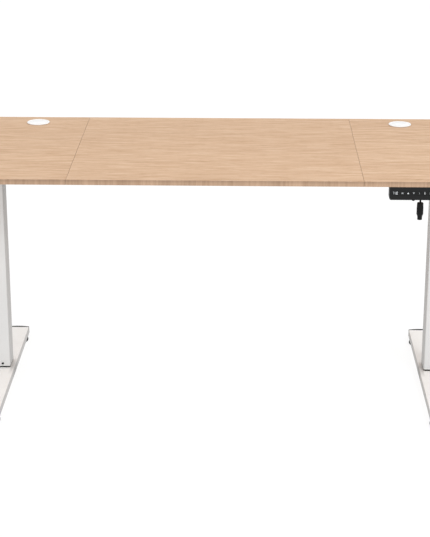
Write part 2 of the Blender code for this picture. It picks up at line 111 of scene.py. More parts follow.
def studio():
    """Bright, even light, a little dimmer from the sides, on a white floor that glows a little."""
    scene = bpy.context.scene
    scene.view_settings.view_transform = "Standard"
    world = bpy.data.worlds.new("studio")
    world.use_nodes = True
    tree = world.node_tree
    sky = tree.nodes["Background"]
    sky.inputs["Color"].default_value = (1, 1, 1, 1)
    towards = tree.nodes.new("ShaderNodeTexCoord")
    split = tree.nodes.new("ShaderNodeSeparateXYZ")
    square = tree.nodes.new("ShaderNodeMath")
    square.operation = "MULTIPLY"
    dim = tree.nodes.new("ShaderNodeMapRange")
    dim.inputs["To Min"].default_value = SKY_AHEAD
    dim.inputs["To Max"].default_value = SKY_ASIDE
    tree.links.new(towards.outputs["Generated"], split.inputs[0])
    tree.links.new(split.outputs["X"], square.inputs[0])
    tree.links.new(split.outputs["X"], square.inputs[1])
    tree.links.new(square.outputs[0], dim.inputs["Value"])
    tree.links.new(dim.outputs[0], sky.inputs["Strength"])
    scene.world = world
    for light in LIGHTS:
        area_light(*light)

    shape = bmesh.new()
    bmesh.ops.create_grid(shape, x_segments=1, y_segments=1, size=FLOOR_SIZE)
    mesh = bpy.data.meshes.new("floor")
    shape.to_mesh(mesh)
    shape.free()
    floor = bpy.data.objects.new("floor", mesh)
    floor.location.z = FLOOR_Z
    scene.collection.objects.link(floor)
    look = bpy.data.materials.new("floor")
    look.use_nodes = True
    shader = look.node_tree.nodes["Principled BSDF"]
    shader.inputs["Base Color"].default_value = (0.15, 0.15, 0.15, 1)
    shader.inputs["Roughness"].default_value = 0.9
    shader.inputs["Specular IOR Level"].default_value = 0.1
    shader.inputs["Emission Color"].default_value = (1, 1, 1, 1)
    shader.inputs["Emission Strength"].default_value = 0.87
    mesh.materials.append(look)


# Materials

class Look:
    """A Principled material, with short calls for the nodes that feed it."""

    def __init__(self, name, roughness=0.5, metallic=0.0, **sockets):
        self.material = bpy.data.materials.new(name)
        self.material.use_nodes = True
        self.tree = self.material.node_tree
        self.shader = self.tree.nodes["Principled BSDF"]
        self.shader.inputs["Roughness"].default_value = roughness
        self.shader.inputs["Metallic"].default_value = metallic
        for socket, value in sockets.items():
            self.shader.inputs[socket.replace("_", " ")].default_value = value

    def node(self, kind, inputs=None, **settings):
        made = self.tree.nodes.new(kind)
        for key, value in settings.items():
            setattr(made, key, value)
        for key, value in (inputs or {}).items():
            self.feed(made.inputs[key], value)
        return made

    def feed(self, socket, value):
        if isinstance(value, bpy.types.NodeSocket):
            self.tree.links.new(value, socket)
        else:
            socket.default_value = value

    def place(self, scale=(1, 1, 1), shift=(0, 0, 0)):
        """Coordinates in metres, in the desk's own frame, scaled along each axis."""
        source = self.node("ShaderNodeTexCoord").outputs["Object"]
        return self.node("ShaderNodeMapping", {"Vector": source, "Location": shift,
                                               "Scale": scale}).outputs[0]

    def noise(self, vector, scale=1.0, detail=3.0, roughness=0.55, distortion=0.0):
        return self.node("ShaderNodeTexNoise", {
            "Vector": vector, "Scale": scale, "Detail": detail, "Roughness": roughness,
            "Distortion": distortion}).outputs["Fac"]

    def ramp(self, fac, *stops):
        """Stops are (position, value or colour)."""
        made = self.node("ShaderNodeValToRGB", {"Fac": fac})
        points = made.color_ramp.elements
        while len(points) < len(stops):
            points.new(0.5)
        for point, (position, value) in zip(points, stops):
            point.position = position
            point.color = (value,) * 3 + (1,) if isinstance(value, (int, float)) else (*value, 1)
        return made.outputs["Color"]

    def mix(self, fac, a, b, blend="MIX"):
        made = self.node("ShaderNodeMix", data_type="RGBA", blend_type=blend)
        for socket, value in zip((made.inputs[0], made.inputs[6], made.inputs[7]), (fac, a, b)):
            if isinstance(value, tuple) and len(value) == 3:
                value = (*value, 1)
            self.feed(socket, value)
        return made.outputs[2]

    def math(self, operation, a, b=0.0):
        made = self.node("ShaderNodeMath", operation=operation)
        self.feed(made.inputs[0], a)
        self.feed(made.inputs[1], b)
        return made.outputs[0]

    def colour(self, value):
        self.feed(self.shader.inputs["Base Color"], (*value, 1) if isinstance(value, tuple)
                  else value)

    def rough(self, value):
        self.feed(self.shader.inputs["Roughness"], value)

    def bump(self, height, strength, distance):
        made = self.node("ShaderNodeBump", {"Height": height, "Strength": strength,
                                            "Distance": distance})
        self.feed(self.shader.inputs["Normal"], made.outputs[0])

    def axis(self, which, of="Object"):
        """One coordinate of a point, or of the surface's normal."""
        source = self.node("ShaderNodeTexCoord").outputs[of]
        return self.node("ShaderNodeSeparateXYZ", {"Vector": source}).outputs[which]


def oak(name, shift, seams):
    """Oak-look laminate with its grain along the desk, and edge bands with upright flecks and
    painted shade towards their top.
    """
    look = Look(name, roughness=0.55, Specular_IOR_Level=0.16)
    tone = look.noise(look.place((1.1, 9.0, 9.0), shift), 1.0, 2.0)
    base = look.ramp(tone, (0.30, (0.635, 0.423, 0.272)), (0.70, (0.684, 0.465, 0.304)))

    # growth rings: contour lines of a long, smooth hill
    hill = look.noise(look.place((0.75, 6.5, 6.5), shift), 1.0, 1.5, 0.4, 0.35)
    across_ring = look.math("FRACT", look.math("MULTIPLY", hill, 17.0))
    rings = look.ramp(across_ring, (0.0, (0.93, 0.90, 0.86)), (0.25, (1, 1, 1)), (0.65, (1, 1, 1)),
                      (1.0, (0.95, 0.925, 0.895)))
    ring_gate = look.ramp(look.noise(look.place((1.3, 11.0, 11.0), shift[::-1]), 1.0, 1.0),
                          (0.40, 0.10), (0.62, 0.80))
    base = look.mix(ring_gate, base, look.mix(1.0, base, rings, "MULTIPLY"))

    streak = look.noise(look.place((9.0, 130.0, 130.0), shift), 1.0, 4.0, 0.70, 0.25)
    fine = look.noise(look.place((9.0, 330.0, 330.0), shift), 1.0, 3.0, 0.6)
    pore = look.noise(look.place((34.0, 820.0, 820.0), shift), 1.0, 1.0)
    base = look.mix(1.0, base, look.ramp(streak, (0.32, (0.835, 0.79, 0.735)), (0.48, (1, 1, 1)),
                                         (0.68, (1.0, 1.0, 1.0))), "MULTIPLY")
    base = look.mix(1.0, base, look.ramp(fine, (0.34, (0.88, 0.845, 0.80)), (0.58, (1, 1, 1))),
                    "MULTIPLY")
    base = look.mix(1.0, base, look.ramp(pore, (0.30, (0.76, 0.70, 0.63)), (0.38, (1, 1, 1))),
                    "MULTIPLY")
    pale = look.ramp(streak, (0.52, 0.0), (0.70, 0.50))
    base = look.mix(pale, base, (0.825, 0.621, 0.447))

    upright = look.noise(look.place((150.0, 150.0, 5.0), shift), 1.0, 4.0, 0.65)
    patch = look.noise(look.place((22.0, 22.0, 22.0), shift), 1.0, 2.0)
    band = look.ramp(upright, (0.34, (0.378, 0.246, 0.162)), (0.66, (0.490, 0.332, 0.228)))
    band = look.mix(0.7, band, look.ramp(patch, (0.38, 0.86), (0.62, 1.0)), "MULTIPLY")
    # Painted shade: the edge band is darkened towards its top, standing in for shade below the
    # top's edge.
    under, top = (corner.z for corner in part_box("desktop_center"))
    height = look.node("ShaderNodeMapRange", {"Value": look.axis("Z"), "From Min": under,
                                              "From Max": top}).outputs[0]
    band = look.mix(1.0, band, look.ramp(height, (0.40, 1.0), (0.75, 0.82)), "MULTIPLY")
    upward = look.math("ABSOLUTE", look.axis("Z", "Normal"))
    colour = look.mix(look.math("LESS_THAN", upward, 0.5), base, band)

    for seam in seams:
        away = look.math("ABSOLUTE", look.math("SUBTRACT", look.axis("X"), seam))
        near = look.ramp(look.math("MULTIPLY", away, 400.0), (0.15, 0.88), (0.40, 1.0))
        colour = look.mix(1.0, colour, near, "MULTIPLY")
    look.colour(colour)
    look.rough(look.ramp(streak, (0.3, 0.60), (0.7, 0.50)))
    look.bump(look.math("ADD", streak, look.math("MULTIPLY", fine, 0.5)), 0.08, 0.0004)
    return look.material


def painted(name, colour, roughness=0.55, grain=0.06, painted_flank_shade=1.0, painted_column_shadow=1.0):
    """Powder coat: a fine orange peel, with a faint change of tone over the part.

    One argument is how much of the colour is left on the faces that look along the desk, a painted
    shade that stands in for dimmer light from the sides; the other is how much is left in a patch
    next to each column's base, a painted shadow.
    """
    look = Look(name, Specular_IOR_Level=0.12)
    tone = look.noise(look.place((6, 6, 6)), 1.0, 2.0)
    peel = look.noise(look.place(), 900.0, 2.0, 0.5)
    speck = look.noise(look.place(), 2600.0, 1.0, 0.5)
    dull = tuple(c * 0.965 for c in colour)
    base = look.ramp(tone, (0.35, dull), (0.65, colour))
    base = look.mix(0.35, base, look.ramp(speck, (0.30, 0.93), (0.60, 1.0)), "MULTIPLY")
    # Painted shade: the faces that look along the desk are darkened, standing in for dimmer light
    # from the sides.
    if painted_flank_shade < 1:
        across = look.math("ABSOLUTE", look.axis("X", "Normal"))
        base = look.mix(1.0, base, look.ramp(across, (0.30, 1.0), (0.90, painted_flank_shade)), "MULTIPLY")
    # Painted shadow: a soft patch on the foot beside each column's base is darkened.
    if painted_column_shadow < 1:
        out = look.math("SUBTRACT", look.math("ABSOLUTE", look.axis("X")), COLUMN_X)
        out = look.math("MULTIPLY", look.math("ABSOLUTE", out), 20.0)
        along = look.math("ABSOLUTE", look.math("SUBTRACT", look.axis("Y"), AXIS_Y - 0.020))
        along = look.math("MULTIPLY", along, 10.0)
        patch = look.math("MULTIPLY", look.ramp(out, (0.42, 0.0), (0.48, 1.0)),
                          look.ramp(along, (0.15, 1.0), (0.62, 0.0)))
        left = look.ramp(patch, (0.0, 1.0), (1.0, painted_column_shadow))
        base = look.mix(1.0, base, left, "MULTIPLY")
    look.colour(base)
    look.rough(look.ramp(peel, (0.3, roughness + 0.05), (0.7, roughness - 0.04)))
    look.bump(peel, grain, 0.0004)
    return look.material


def plastic(name, colour, roughness=0.5, texture=0.12, scale=1800.0):
    """Moulded plastic with a spark-eroded grain."""
    look = Look(name, Specular_IOR_Level=0.16)
    grain = look.noise(look.place(), scale, 3.0, 0.6)
    tone = look.noise(look.place((12, 12, 12)), 1.0, 2.0)
    dark = tuple(c * 0.86 for c in colour)
    base = look.ramp(tone, (0.35, dark), (0.65, colour))
    look.colour(look.mix(0.4, base, look.ramp(grain, (0.35, 0.80), (0.60, 1.0)), "MULTIPLY"))
    look.rough(look.ramp(grain, (0.3, roughness + 0.07), (0.7, roughness - 0.05)))
    look.bump(grain, texture, 0.0003)
    return look.material


def metal(name, colour, roughness=0.32, stretch=(900, 900, 30)):
    """Drawn or ground steel, with fine lines along the piece."""
    look = Look(name, metallic=1.0)
    lines = look.noise(look.place(stretch), 1.0, 3.0, 0.6)
    tone = look.noise(look.place((14, 14, 14)), 1.0, 2.0)
    base = look.ramp(tone, (0.35, tuple(c * 0.9 for c in colour)), (0.65, colour))
    look.colour(look.mix(0.5, base, look.ramp(lines, (0.3, 0.82), (0.7, 1.0)), "MULTIPLY"))
    look.rough(look.ramp(lines, (0.3, roughness + 0.1), (0.7, roughness - 0.06)))
    look.bump(lines, 0.08, 0.0002)
    return look.material


def cast(name, colour):
    """Die-cast alloy: a dull, slightly mottled skin."""
    look = Look(name, metallic=0.8)
    skin = look.noise(look.place(), 650.0, 4.0, 0.65)
    blotch = look.noise(look.place(), 40.0, 2.0)
    base = look.ramp(blotch, (0.35, tuple(c * 0.82 for c in colour)), (0.65, colour))
    look.colour(look.mix(0.5, base, look.ramp(skin, (0.3, 0.8), (0.65, 1.0)), "MULTIPLY"))
    look.rough(look.ramp(skin, (0.3, 0.62), (0.7, 0.46)))
    look.bump(skin, 0.22, 0.0005)
    return look.material


def circuit(name):
    """Green solder mask with faint tracks."""
    look = Look(name, roughness=0.35)
    tracks = look.node("ShaderNodeTexBrick", {
        "Vector": look.place((1, 1, 0)), "Color1": (0.012, 0.10, 0.045, 1),
        "Color2": (0.014, 0.12, 0.055, 1), "Mortar": (0.03, 0.20, 0.09, 1), "Scale": 160.0,
        "Mortar Size": 0.06})
    dust = look.noise(look.place(), 500.0)
    look.colour(look.mix(0.4, tracks.outputs["Color"], look.ramp(dust, (0.3, 0.8), (0.7, 1.0)),
                         "MULTIPLY"))
    return look.material


def legend(name, colour, glow):
    """Printed or lit marks on the keypad, uneven like a light shining through print."""
    look = Look(name, roughness=0.4)
    spots = look.noise(look.place(), 900.0, 2.0)
    shade = look.ramp(spots, (0.3, tuple(c * 0.82 for c in colour)), (0.7, colour))
    look.colour(shade)
    look.feed(look.shader.inputs["Emission Color"], shade)
    look.shader.inputs["Emission Strength"].default_value = glow
    return look.material


SEAM_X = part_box("desktop_center")[1].x
COLUMN_X = middle("outer_tube_right").x
LOOKS = {
    "oak_left": oak("oak_left", (3.1, 0.7, 0.2), (-SEAM_X,)),
    "oak_center": oak("oak_center", (0.0, 0.0, 0.0), (-SEAM_X, SEAM_X)),
    "oak_right": oak("oak_right", (7.7, -1.9, 0.4), (SEAM_X,)),
    "white": painted("white_powder_coat", (0.643, 0.641, 0.635), painted_flank_shade=0.73),
    # The feet have the same white powder coat as the columns, painted lighter to stand in for the
    # stronger light on the foot tops.
    "foot_white_painted_lighter": painted("foot_powder_coat_painted_lighter", (0.885, 0.877, 0.865), painted_flank_shade=0.56,
                          painted_column_shadow=0.70),
    "white_plastic": plastic("white_grommet_plastic", (0.96, 0.96, 0.955), 0.42, 0.04),
    "black": plastic("black_plastic", (0.010, 0.010, 0.0105), 0.52),
    "charcoal": plastic("charcoal_plastic", (0.0120, 0.0121, 0.0125), 0.50, 0.10),
    "rubber": plastic("black_cord_jacket", (0.008, 0.008, 0.0085), 0.58, 0.05, 1200.0),
    "dark": painted("black_steel", (0.026, 0.026, 0.028), 0.40, 0.10),
    "bright": metal("bright_steel", (0.56, 0.56, 0.57)),
    "shaft": metal("shaft_steel", (0.50, 0.50, 0.51), 0.30, (30, 900, 900)),
    "zinc": metal("zinc_plated_steel", (0.62, 0.62, 0.60), 0.36, (700, 700, 700)),
    "cast": cast("cast_alloy", (0.46, 0.46, 0.47)),
    "glass": plastic("display_window", (0.010, 0.010, 0.011), 0.12, 0.0),
    "board": circuit("circuit_board"),
    "lit": legend("lit_legend", (0.62, 0.64, 0.66), 0.10),
    "bright_mark": legend("bright_legend", (0.86, 0.87, 0.88), 0.25),
    "dim_mark": legend("dim_legend", (0.34, 0.35, 0.36), 0.05),
}


# CAD nodes that stay

def smooth_group():
    """Welds a faceted solid and shades it smooth, except over its sharp edges."""
    group = bpy.data.node_groups.new("smooth_by_angle", "GeometryNodeTree")
    for side in ("INPUT", "OUTPUT"):
        group.interface.new_socket("Geometry", in_out=side, socket_type="NodeSocketGeometry")
    start, end = group.nodes.new("NodeGroupInput"), group.nodes.new("NodeGroupOutput")
    weld = group.nodes.new("GeometryNodeMergeByDistance")
    weld.inputs["Distance"].default_value = 0.00001
    round_all = group.nodes.new("GeometryNodeSetShadeSmooth")
    keep_sharp = group.nodes.new("GeometryNodeSetShadeSmooth")
    keep_sharp.domain = "EDGE"
    keep_sharp.inputs["Shade Smooth"].default_value = False
    angle = group.nodes.new("GeometryNodeInputMeshEdgeAngle")
    over = group.nodes.new("FunctionNodeCompare")
    over.operation = "GREATER_THAN"
    over.inputs[1].default_value = radians(34)
    for source, target in (
            (start.outputs[0], weld.inputs["Geometry"]),
            (weld.outputs[0], round_all.inputs["Geometry"]),
            (round_all.outputs[0], keep_sharp.inputs["Geometry"]),
            (angle.outputs[0], over.inputs[0]),
            (over.outputs[0], keep_sharp.inputs["Selection"]),
            (keep_sharp.outputs[0], end.inputs[0])):
        group.links.new(source, target)
    return group


SMOOTH = smooth_group()


def dress(node, look, bevel=0.0):
    """Gives a CAD node its material, smooth shading and softly broken edges."""
    made = NODES[node]
    made.data.materials.clear()
    made.data.materials.append(LOOKS[look])
    if "custom_normal" in made.data.attributes:
        made.data.attributes.remove(made.data.attributes["custom_normal"])
    shade = made.modifiers.new("shade", "NODES")
    shade.node_group = SMOOTH
    if bevel:
        edge = made.modifiers.new("edge", "BEVEL")
        edge.width = bevel
        edge.segments = 2
        edge.limit_method = "ANGLE"
        edge.angle_limit = radians(40)
        edge.harden_normals = True


def dress_all():
    for board in ("left", "center", "right"):
        dress(f"desktop_{board}", f"oak_{board}", 0.0003)
    for side, _ in SIDES:
        dress(f"foot_{side}", "foot_white_painted_lighter")
        dress(f"outer_tube_{side}", "white")
        dress(f"inner_tube_{side}", "white")
        dress(f"side_arm_{side}", "white", 0.0006)
        dress(f"lower_glide_{side}", "black", 0.0003)
        dress(f"upper_glide_{side}", "black")
        dress(f"spindle_nut_{side}", "black")
        dress(f"spindle_{side}", "bright")
        dress(f"column_head_{side}", "dark", 0.0006)
        dress(f"gearbox_{side}", "cast", 0.0015)
        for end, _ in ENDS:
            dress(f"foot_cap_{side}_{end}", "black", 0.0008)
    for name in ("rail_front", "rail_back"):
        dress(name, "white")
    dress("drive_shaft", "shaft")
    dress("motor_gearhead", "cast", 0.0020)
    dress("motor_can", "dark", 0.0003)
    dress("control_box", "charcoal", 0.0015)
    dress("control_box_lid", "charcoal", 0.0004)
    dress("control_board", "board")
    dress("mains_inlet", "black", 0.0004)
    dress("keypad_housing", "charcoal", 0.0005)
    dress("keypad_fascia", "charcoal", 0.00025)
    dress("keypad_display", "glass", 0.0002)
    for name in ("memory", "up", "down", "one", "two", "three"):
        dress(f"key_{name}", "charcoal", 0.00025)


# Shapes for the added pieces

def piece(name, shape, look, body, smooth=True):
    """Makes a piece from a bmesh that is drawn in the desk's own frame."""
    bmesh.ops.recalc_face_normals(shape, faces=shape.faces)
    mesh = bpy.data.meshes.new(name)
    shape.to_mesh(mesh)
    shape.free()
    made = bpy.data.objects.new(name, mesh)
    bpy.context.scene.collection.objects.link(made)
    mesh.materials.append(LOOKS[look])
    if smooth:
        mesh.shade_smooth()
        mesh.set_sharp_from_angle(angle=radians(34))
    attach(made, body)
    return made


def turn_to(at, axis):
    """The matrix that takes +Z to an axis and the origin to a point."""
    turn = Vector(axis).to_track_quat("Z", "Y").to_matrix().to_4x4()
    return Matrix.Translation(Vector(at)) @ turn


def lathe(shape, profile, place, steps=32, wobble=None):
    """Turns a profile of (radius, height) points about Z. It is closed on the axis or on itself.

    wobble(i, angle) scales the radius of the profile's point i at an angle.
    """
    wobble = wobble or (lambda i, angle: 1.0)
    closed = profile[0][0] > 0
    rings = []
    for i, (r, z) in enumerate(profile):
        if r == 0:
            rings.append([shape.verts.new(place @ Vector((0, 0, z)))] * steps)
            continue
        rings.append([shape.verts.new(place @ Vector((
            r * wobble(i, a) * cos(a), r * wobble(i, a) * sin(a), z)))
            for a in (2 * pi * k / steps for k in range(steps))])
    pairs = list(zip(rings, rings[1:]))
    if closed:
        pairs.append((rings[-1], rings[0]))
    for above, below in pairs:
        for k in range(steps):
            n = (k + 1) % steps
            corners = [above[k], above[n], below[n], below[k]]
            unique = [v for j, v in enumerate(corners) if v not in corners[:j]]
            if len(unique) > 2:
                shape.faces.new(unique)


def hexagon(corner_points):
    """A wobble that makes the given profile points six-sided."""
    def scale(i, angle):
        if i not in corner_points:
            return 1.0
        return cos(pi / 6) / cos((angle % (pi / 3)) - pi / 6)
    return scale


def cross_recess(i, angle):
    """A wobble that makes points 1 and 2 of a screw head's profile a cross."""
    if i not in (1, 2) or (angle + pi / 12) % (pi / 2) < pi / 6:
        return 1.0
    return 0.42


def block(shape, low, high, bevel):
    """A box with its edges broken."""
    low, high = Vector(low), Vector(high)
    made = bmesh.ops.create_cube(shape, size=1.0)["verts"]
    bmesh.ops.scale(shape, vec=high - low, verts=made)
    bmesh.ops.translate(shape, vec=(low + high) / 2, verts=made)
    edges = list({e for v in made for e in v.link_edges})
    bmesh.ops.bevel(shape, geom=edges, offset=bevel, segments=2, affect="EDGES")


def pan_screw(shape, at, axis, r=0.0040, h=0.0022):
    """A button head with a hexagon socket. at is where it bears, axis points out of the head."""
    socket = r * 0.52
    profile = [(0, h * 0.35), (socket, h * 0.35), (socket, h), (r * 0.66, h), (r * 0.9, h * 0.72),
               (r, h * 0.30), (r, 0), (0, 0)]
    lathe(shape, profile, turn_to(at, axis), 24, hexagon((1, 2)))


def wood_screw(shape, at, axis, r=0.0042, h=0.0020):
    """A pan head with a cross recess."""
    profile = [(0, h * 0.25), (r * 0.50, h * 0.45), (r * 0.56, h), (r * 0.70, h),
               (r * 0.92, h * 0.6), (r, h * 0.2), (r, 0), (0, 0)]
    lathe(shape, profile, turn_to(at, axis), 24, cross_recess)


def hex_bolt(shape, at, axis, r=0.0075, h=0.0050):
    """A hexagon head on a flat washer."""
    washer = 0.0014
    profile = [(0, h + washer), (r * 0.8, h + washer), (r, h * 0.85 + washer), (r, washer),
               (r * 1.25, washer), (r * 1.25, 0), (0, 0)]
    lathe(shape, profile, turn_to(at, axis), 24, hexagon((2, 3)))


def cable(name, points, radius, kind, roundness):
    """A round lead on the top, from point to point (POLY) or as a smooth curve (NURBS)."""
    curve = bpy.data.curves.new(name, "CURVE")
    curve.dimensions = "3D"
    curve.bevel_depth = radius
    curve.bevel_resolution = roundness
    curve.use_fill_caps = True
    curve.resolution_u = 6
    spline = curve.splines.new(kind)
    spline.points.add(len(points) - 1)
    for point, at in zip(spline.points, points):
        point.co = (*at, 1)
    spline.order_u = 4
    spline.use_endpoint_u = True
    spline.use_smooth = True
    made = bpy.data.objects.new(name, curve)
    bpy.context.scene.collection.objects.link(made)
    curve.materials.append(LOOKS["rubber"])
    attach(made, "top")
    return made


# Grommets

CAP_T, BOSS_R = 0.0020, 0.0272
SLEEVE_OUT, SLEEVE_IN = 0.0298, 0.0278


def sleeve_slots(i, angle):
    """A wobble that puts six shallow slots down the sleeve, under its flange."""
    return 1.0 if i < 5 or angle % (pi / 3) > 0.14 else 0.975


def grommets():
    """The caps, each with a fine groove round its flat middle, and the sleeves they sit in."""
    for side, _ in SIDES:
        low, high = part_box(f"grommet_cap_{side}")
        at = Matrix.Translation((*((low + high) / 2).xy, 0))
        r, top, under, bottom = (high.x - low.x) / 2, high.z, high.z - CAP_T, low.z
        profile = [(0, top - 0.0003), (0.0250, top - 0.0003), (0.0256, top - 0.0007),
                   (0.0262, top - 0.0003), (r - 0.0016, top), (r - 0.0006, top - 0.0003),
                   (r, top - 0.0010), (r, under), (BOSS_R, under), (BOSS_R, bottom), (0, bottom)]
        shape = bmesh.new()
        lathe(shape, profile, at, 96)
        cap = piece(f"grommet_cover_{side}", shape, "white_plastic", f"grommet_cap_{side}")
        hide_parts(f"grommet_cap_{side}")

        low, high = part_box(f"grommet_sleeve_{side}")
        flange, top, bottom = (high.x - low.x) / 2, high.z, low.z
        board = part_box("desktop_center")[1].z + GAP
        profile = [(SLEEVE_IN, top), (flange - 0.0004, top), (flange, top - 0.0003),
                   (flange, board), (SLEEVE_OUT, board), (SLEEVE_OUT, bottom + 0.001),
                   (SLEEVE_OUT - 0.0008, bottom), (SLEEVE_IN, bottom)]
        shape = bmesh.new()
        lathe(shape, profile, at, 96, sleeve_slots)
        ring = piece(f"grommet_ring_{side}", shape, "white_plastic", "top")
        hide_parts(f"grommet_sleeve_{side}")


# Feet

FOOT_WALL = 0.0025
WHEEL_H = 0.0068
STUD_R, STUD_PITCH = 0.0040, 0.00125
PLATE_HALF, PLATE_T = (0.022, 0.045), 0.0034


def scalloped(rim_points):
    """A wobble that notches the given profile points all round."""
    def scale(i, angle):
        return 1 - 0.016 * sin(24 * angle) ** 2 if i in rim_points else 1.0
    return scale


def levelling_wheels():
    """Thumb wheels with a scalloped rim and a threaded stud."""
    for side, _ in SIDES:
        for end, _ in ENDS:
            node = f"leveller_{side}_{end}"
            low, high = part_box(node)
            at = Matrix.Translation((*((low + high) / 2).xy, 0))
            r = (high.x - low.x) / 2
            profile = [(0, high.z), (STUD_R - 0.0008, high.z)]
            z = high.z - 0.0008
            while z > WHEEL_H + 0.0045:
                profile += [(STUD_R, z), (STUD_R - 0.0006, z - STUD_PITCH / 2)]
                z -= STUD_PITCH
            profile += [(STUD_R, WHEEL_H + 0.0036), (0.0090, WHEEL_H + 0.0034),
                        (0.0102, WHEEL_H), (r - 0.0060, WHEEL_H - 0.0006),
                        (r - 0.0015, WHEEL_H), (r, WHEEL_H - 0.0014), (r, 0.0014),
                        (r - 0.0012, 0), (0, 0)]
            last = len(profile)
            shape = bmesh.new()
            lathe(shape, profile, at, 192, scalloped((last - 5, last - 4, last - 3)))
            wheel = piece(f"levelling_wheel_{side}_{end}", shape, "black", node)
            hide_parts(node)


def foot_fixings():
    """The nuts that take the levellers' studs, and the plates and bolts under the columns."""
    shape = bmesh.new()
    for side, _ in SIDES:
        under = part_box(f"foot_{side}")[1].z - FOOT_WALL
        nut = [(0.0046, under - 0.0002), (0.0092, under - 0.0002), (0.0098, under - 0.0008),
               (0.0098, under - 0.0060), (0.0088, under - 0.0068), (0.0046, under - 0.0068)]
        for end, _ in ENDS:
            at = middle(f"leveller_{side}_{end}")
            lathe(shape, nut, Matrix.Translation((at.x, at.y, 0)), 24, hexagon((1, 2, 3, 4)))
    piece("foot_weld_nuts", shape, "zinc", "base")

    shape = bmesh.new()
    half_x, half_y = PLATE_HALF
    for side, _ in SIDES:
        x, under = middle(f"foot_{side}").x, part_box(f"foot_{side}")[1].z - FOOT_WALL
        block(shape, (x - half_x, AXIS_Y - half_y, under - PLATE_T),
              (x + half_x, AXIS_Y + half_y, under - 0.0001), 0.0006)
        for dx in (-0.011, 0.011):
            for dy in (-0.030, 0.030):
                hex_bolt(shape, (x + dx, AXIS_Y + dy, under - PLATE_T), (0, 0, -1), 0.0062,
                         0.0045)
    piece("foot_plates_and_bolts", shape, "zinc", "base")


# Columns and drive

SHAFT_Z = middle("drive_shaft").z
HEAD_WALL = 0.003


def column_screws():
    """The screw low on each column's front, with its shank in the tube's wall."""
    for side, _ in SIDES:
        low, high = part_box(f"glide_screw_{side}")
        at = (low + high) / 2
        r, shank = (high.x - low.x) / 2, 0.0032
        profile = [(0, 0.0005), (0.0016, 0.0006), (0.0018, 0.0017), (0.0024, 0.0018),
                   (0.0032, 0.0012), (r, 0.0004), (r, 0), (0.0015, 0), (0.0015, -shank),
                   (0, -shank)]
        shape = bmesh.new()
        lathe(shape, profile, turn_to((at.x, high.y - shank, at.z), (0, -1, 0)), 32,
              cross_recess)
        screw = piece(f"column_screw_{side}", shape, "black", "top")
        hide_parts(f"glide_screw_{side}")


def head_screws():
    """Two pairs of screws at each end of a column head, into the rails."""
    shape = bmesh.new()
    for side, _ in SIDES:
        low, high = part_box(f"column_head_{side}")
        for inward, y in ((1, low.y + HEAD_WALL), (-1, high.y - HEAD_WALL)):
            for x in (low.x + 0.010, high.x - 0.010):
                for z in (high.z - 0.010, high.z - 0.024):
                    pan_screw(shape, (x, y, z), (0, inward, 0), 0.0045, 0.0024)
    piece("head_to_rail_screws", shape, "dark", "top")


def gearbox_details():
    """A shaft seal, four screws and cooling fins on each gearbox."""
    for side, sign in SIDES:
        low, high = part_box(f"gearbox_{side}")
        face = low.x if sign > 0 else high.x
        out = Vector((-sign, 0, 0))
        shape = bmesh.new()
        lathe(shape, [(0.0058, 0.0046), (0.0105, 0.0046), (0.0118, 0.0036), (0.0125, 0.0002),
                      (0.0058, 0.0002)], turn_to((face, AXIS_Y, SHAFT_Z), out), 40)
        for dy in (-0.026, 0.026):
            for dz in (-0.015, 0.015):
                pan_screw(shape, (face, AXIS_Y + dy, SHAFT_Z + dz), out, 0.0034, 0.0022)
        near, far = sorted((face + sign * 0.006, face + sign * 0.052))
        for dy in (-0.020, -0.010, 0.010, 0.020):
            y = AXIS_Y + dy
            block(shape, (near, y - 0.0008, high.z), (far, y + 0.0008, high.z + 0.0010), 0.0003)
        piece(f"gearbox_details_{side}", shape, "cast", "top")


def shaft_collars():
    """Split collars that hold the cross shaft in place, each with its grub screw."""
    collar = [(0.0044, 0.0055), (0.0080, 0.0055), (0.0088, 0.0047), (0.0088, -0.0047),
              (0.0080, -0.0055), (0.0044, -0.0055)]
    shape = bmesh.new()
    for x in (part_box("gearbox_left")[1].x + 0.013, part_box("gearbox_right")[0].x - 0.013,
              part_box("motor_gearhead")[1].x + 0.010):
        lathe(shape, collar, turn_to((x, AXIS_Y, SHAFT_Z), (1, 0, 0)), 32, hexagon((0, 5)))
        pan_screw(shape, (x, AXIS_Y, SHAFT_Z + 0.0084), (0, 0, 1), 0.0022, 0.0010)
    piece("shaft_collars", shape, "dark", "drive_shaft")


